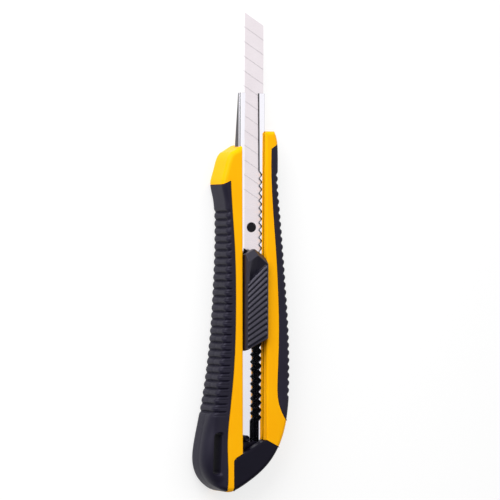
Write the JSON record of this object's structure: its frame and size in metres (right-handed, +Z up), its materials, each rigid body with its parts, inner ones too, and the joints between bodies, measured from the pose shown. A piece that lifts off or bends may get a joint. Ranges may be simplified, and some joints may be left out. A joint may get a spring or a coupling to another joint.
{
  "type": "snap off knife",
  "caption": "Snap-off cutter with a narrow scored blade in a toothed steel channel, a self-locking thumb slider, soft ribbed grips and a pull-off end cap.",
  "frame": {"origin": "under the middle of the whole knife as it lies on its flat back, blade out as stored", "axes": "+Y from the heel to the blade's tip, +Z up out of the face with the thumb button, +X to the palm side"},
  "size_m": [0.033, 0.1632, 0.0135],
  "materials": {
    "yellow_shell": "smooth satin-gloss moulded ABS",
    "soft_grip": "fine matt overmoulded soft plastic",
    "black_plastic": "satin moulded plastic",
    "button_plastic": "satin moulded plastic",
    "bright_steel": "bright polished sheet",
    "blade_steel": "fine ground carbon steel",
    "spring_steel": "rolled strip"
  },
  "bodies": {
    "handle": {"housing": "yellow_shell", "finger_grip": "soft_grip", "palm_grip": "soft_grip", "blade_channel": "bright_steel"},
    "carriage": {"blade_carrier": "black_plastic", "snap_off_blade": "blade_steel", "lock_spring": "spring_steel"},
    "lock_button": {"slider_button": "button_plastic", "lock_pawl": "spring_steel"},
    "cap": {"end_cap": "black_plastic"}
  },
  "joints": [
    {"name": "blade_slide", "type": "slide", "parent": "handle", "child": "carriage", "axis": [0, 1, 0], "range_m": [-0.03, 0.03]},
    {"name": "lock_press", "type": "slide", "parent": "carriage", "child": "lock_button", "axis": [0, 0, -1], "range_m": [0, 0.0009], "stiffness_N_per_m": 2000, "springref_m": -0.0005, "deforming": ["lock_spring"]},
    {"name": "cap_pull", "type": "slide", "parent": "handle", "child": "cap", "axis": [0, -1, 0], "range_m": [0, 0.025]}
  ]
}
